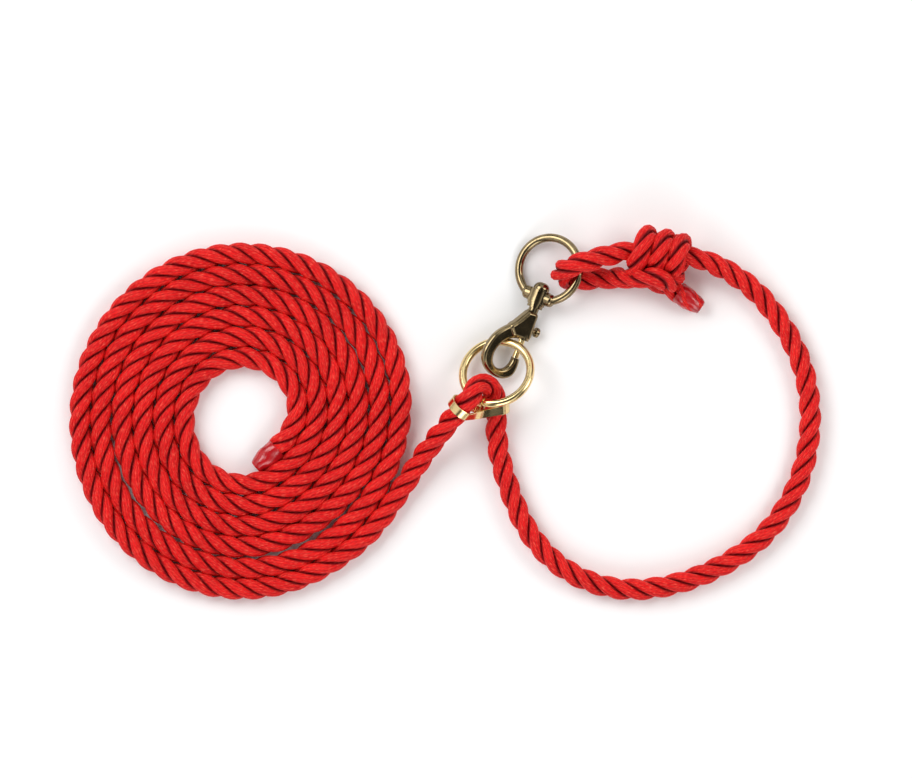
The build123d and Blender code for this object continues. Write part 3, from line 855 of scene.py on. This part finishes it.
def strip_line():
    """Places and width directions round the closed strip."""
    left, right = leg_frame(LEG_LEFT), leg_frame(LEG_RIGHT)
    width = (left[1] + right[1]).normalized()
    up = (left[3] + right[3]).normalized()
    places = []
    for (hold, along, out, rise), turns in ((left, range(100, -101, -10)), (right, range(-100, 101, 10))):
        for turn in turns:
            angle = math.radians(turn)
            places.append((hold + (out * math.cos(angle) + rise * math.sin(angle)) * STRIP_RADIUS, along))
        places.append((BAND_POST + up * (STRIP_WAIST if turns[0] < 0 else -STRIP_WAIST), width))
    spots = np.array([[*place, *wide] for place, wide in places])
    for _ in range(3):
        following = np.roll(spots, -1, axis=0)
        near_cut = 0.75 * spots + 0.25 * following
        far_cut = 0.25 * spots + 0.75 * following
        spots = np.stack([near_cut, far_cut], axis=1).reshape(-1, 6)
    return spots


def closed_sweep(spots, section):
    """A closed tube whose section, given across the width and the thickness, follows a closed line."""
    vertices = []
    faces = []
    count, corners = len(spots), len(section)
    for index, spot in enumerate(spots):
        place, wide = Vector(spot[:3]), Vector(spot[3:]).normalized()
        tangent = (Vector(spots[(index + 1) % count][:3]) - Vector(spots[index - 1][:3])).normalized()
        thick = wide.cross(tangent).normalized()
        vertices += [place + wide * w + thick * t for w, t in section]
        for corner in range(corners):
            following = (corner + 1) % corners
            here, there = index * corners, ((index + 1) % count) * corners
            faces.append((here + corner, here + following, there + following, there + corner))
    return vertices, faces


def joined(name, shells):
    """One mesh of several closed shells, all facing outward."""
    vertices = []
    faces = []
    for shell_vertices, shell_faces in shells:
        faces += [tuple(len(vertices) + corner for corner in face) for face in shell_faces]
        vertices += shell_vertices
    thing = mesh_object(name, vertices, faces)
    test = bmesh.new()
    test.from_mesh(thing.data)
    bmesh.ops.recalc_face_normals(test, faces=test.faces)
    test.to_mesh(thing.data)
    test.free()
    return thing


def stem(start, end, radius, sides=24):
    """A round bar between two places."""
    along = (end - start).normalized()
    side = along.orthogonal().normalized()
    up = along.cross(side)
    vertices = []
    for place in (start, end):
        for k in range(sides):
            angle = 2 * math.pi * k / sides
            vertices.append(place + (side * math.cos(angle) + up * math.sin(angle)) * radius)
    faces = [(k, (k + 1) % sides, sides + (k + 1) % sides, sides + k) for k in range(sides)]
    return vertices, faces + [tuple(reversed(range(sides))), tuple(range(sides, 2 * sides))]


BEVEL = 0.22 * MM
half_thick = STRIP_THICK / 2
STRIP_SECTION = [
    (STRIP_HALF, half_thick - BEVEL), (STRIP_HALF - BEVEL, half_thick), (BEVEL - STRIP_HALF, half_thick),
    (-STRIP_HALF, half_thick - BEVEL), (-STRIP_HALF, BEVEL - half_thick), (BEVEL - STRIP_HALF, -half_thick),
    (STRIP_HALF - BEVEL, -half_thick), (STRIP_HALF, BEVEL - half_thick),
]
lug_place, lug_along, lug_out = ring_place(LUG_TURN)
lug_up = lug_along.cross(lug_out)
LUG_SIDES = 40
lug_spots = []
for k in range(LUG_SIDES):
    lug_angle = 2 * math.pi * k / LUG_SIDES
    reach = (lug_out * math.cos(lug_angle) + lug_up * math.sin(lug_angle)) * (LUG_INSIDE + LUG_WALL / 2)
    lug_spots.append([*(lug_place + reach), *lug_along])
half_wall = LUG_WALL / 2
LUG_SECTION = [
    (LUG_HALF, half_wall - BEVEL), (LUG_HALF - BEVEL, half_wall), (BEVEL - LUG_HALF, half_wall),
    (-LUG_HALF, half_wall - BEVEL), (-LUG_HALF, -half_wall), (LUG_HALF, -half_wall),
]
to_lug = lug_place - BAND_POST
stem_end = BAND_POST + to_lug * (1.0 - (LUG_INSIDE + half_wall) / to_lug.length)
keeper = joined(
    "keeper_strip",
    [
        closed_sweep(strip_line(), STRIP_SECTION),
        closed_sweep(lug_spots, LUG_SECTION),
        stem(BAND_POST, stem_end, STEM_RADIUS),
    ],
)
keeper.data.set_sharp_from_angle(angle=math.radians(30.0))
keeper.data.materials.append(PALE_BRASS)
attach(keeper, "rope")
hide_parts("keeper_band")

# %% [markdown]
# ## Stray fibres
# About three thousand short fibres stand a little off the yarn. Geometry nodes scatter them over the
# outward side of the strands, lean them over at random and make them real.

# %% Fibre scatter
def fibre_material():
    """Thin pale red fibre."""
    material, tree, shader = new_material("stray_fibre")
    cloud = noise(tree, object_coordinates(tree), 80.0, 2.0)
    red = ramp_node(tree, cloud, [(0.3, (0.86, 0.02, 0.02)), (0.7, (0.95, 0.12, 0.09))])
    tree.links.new(red, shader.inputs["Base Color"])
    shader.inputs["Roughness"].default_value = 0.5
    return material


FIBRE_INPUTS = [
    ("Density", "Float", 36000.0),
    ("Length", "Float", 1.7 * MM),
    ("Thickness", "Float", 0.06 * MM),
    ("Seed", "Int", 7),
]


def fibre_tree(material):
    """Node group that scatters leaning cones over a mesh."""
    group = bpy.data.node_groups.new("stray_fibres", "GeometryNodeTree")
    group.interface.new_socket("Geometry", in_out="INPUT", socket_type="NodeSocketGeometry")
    for label, kind, value in FIBRE_INPUTS:
        socket = group.interface.new_socket(label, in_out="INPUT", socket_type="NodeSocket" + kind)
        socket.default_value = value
    group.interface.new_socket("Geometry", in_out="OUTPUT", socket_type="NodeSocketGeometry")
    make, link = group.nodes.new, group.links.new
    given, result = make("NodeGroupInput"), make("NodeGroupOutput")
    outward = make("GeometryNodeInputNamedAttribute")
    outward.data_type = "FLOAT"
    outward.inputs["Name"].default_value = "outward"
    facing = make("FunctionNodeCompare")
    facing.operation = "GREATER_THAN"
    facing.inputs["B"].default_value = 0.5
    link(outward.outputs["Attribute"], facing.inputs["A"])
    scatter = make("GeometryNodeDistributePointsOnFaces")
    link(given.outputs["Geometry"], scatter.inputs["Mesh"])
    link(facing.outputs["Result"], scatter.inputs["Selection"])
    link(given.outputs["Density"], scatter.inputs["Density"])
    link(given.outputs["Seed"], scatter.inputs["Seed"])
    cone = make("GeometryNodeMeshCone")
    cone.inputs["Vertices"].default_value = 3
    cone.inputs["Radius Top"].default_value = 0.02 * MM
    link(given.outputs["Thickness"], cone.inputs["Radius Bottom"])
    link(given.outputs["Length"], cone.inputs["Depth"])
    lean = make("FunctionNodeRandomValue")
    lean.data_type = "FLOAT_VECTOR"
    lean.inputs["Min"].default_value = (1.15, 0.0, 0.0)
    lean.inputs["Max"].default_value = (1.5, 0.0, 6.28)
    link(given.outputs["Seed"], lean.inputs["Seed"])
    as_turn = make("FunctionNodeEulerToRotation")
    link(lean.outputs["Value"], as_turn.inputs[0])
    turned = make("FunctionNodeRotateRotation")
    turned.rotation_space = "LOCAL"
    link(scatter.outputs["Rotation"], turned.inputs[0])
    link(as_turn.outputs[0], turned.inputs[1])
    place = make("GeometryNodeInstanceOnPoints")
    link(scatter.outputs["Points"], place.inputs["Points"])
    link(cone.outputs["Mesh"], place.inputs["Instance"])
    link(turned.outputs[0], place.inputs["Rotation"])
    real, dressed = make("GeometryNodeRealizeInstances"), make("GeometryNodeSetMaterial")
    dressed.inputs["Material"].default_value = material
    link(place.outputs["Instances"], real.inputs["Geometry"])
    link(real.outputs["Geometry"], dressed.inputs["Geometry"])
    link(dressed.outputs["Geometry"], result.inputs["Geometry"])
    return group


scattered = bpy.data.objects.new("scattered", rope.data.copy())
bpy.context.scene.collection.objects.link(scattered)
scatter_modifier = scattered.modifiers.new("stray_fibres", "NODES")
scatter_modifier.node_group = fibre_tree(fibre_material())
bpy.context.view_layer.update()
evaluated = scattered.evaluated_get(bpy.context.evaluated_depsgraph_get())
fibre_mesh = bpy.data.meshes.new_from_object(evaluated)
bpy.data.objects.remove(scattered)
fibres = bpy.data.objects.new("stray_fibres", fibre_mesh)
bpy.context.scene.collection.objects.link(fibres)
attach(fibres, "rope")
print("fibres", len(fibre_mesh.polygons) // 5, "triangles", len(fibre_mesh.polygons) // 5 * 8)
